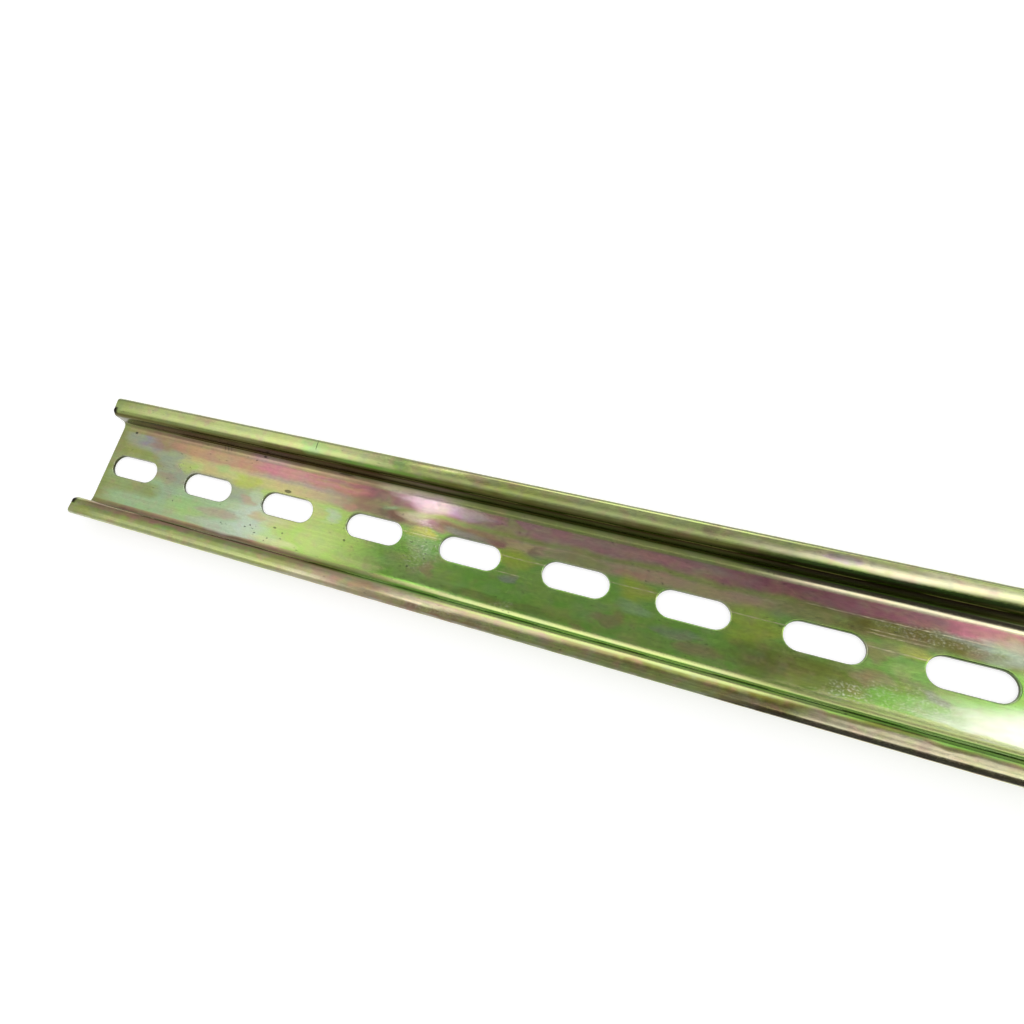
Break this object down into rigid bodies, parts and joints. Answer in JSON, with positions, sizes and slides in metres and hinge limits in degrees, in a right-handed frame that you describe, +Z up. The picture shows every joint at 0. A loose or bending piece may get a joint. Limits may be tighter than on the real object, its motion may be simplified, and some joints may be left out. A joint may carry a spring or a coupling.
{
  "type": "din rail",
  "caption": "Top-hat mounting rail of yellow-passivated sheet steel with a slotted web, for clipping on electrical devices",
  "frame": {"origin": "middle of the web's underside, halfway along the rail", "axes": "+X along the rail, +Y across it, +Z up out of the open side"},
  "size_m": [1, 0.035, 0.0075],
  "materials": {
    "zinc_yellow": "zinc plated with yellow iridescent passivation, fine rolling lines along the rail"
  },
  "bodies": {
    "root": {"rail": "zinc_yellow"}
  },
  "joints": []
}
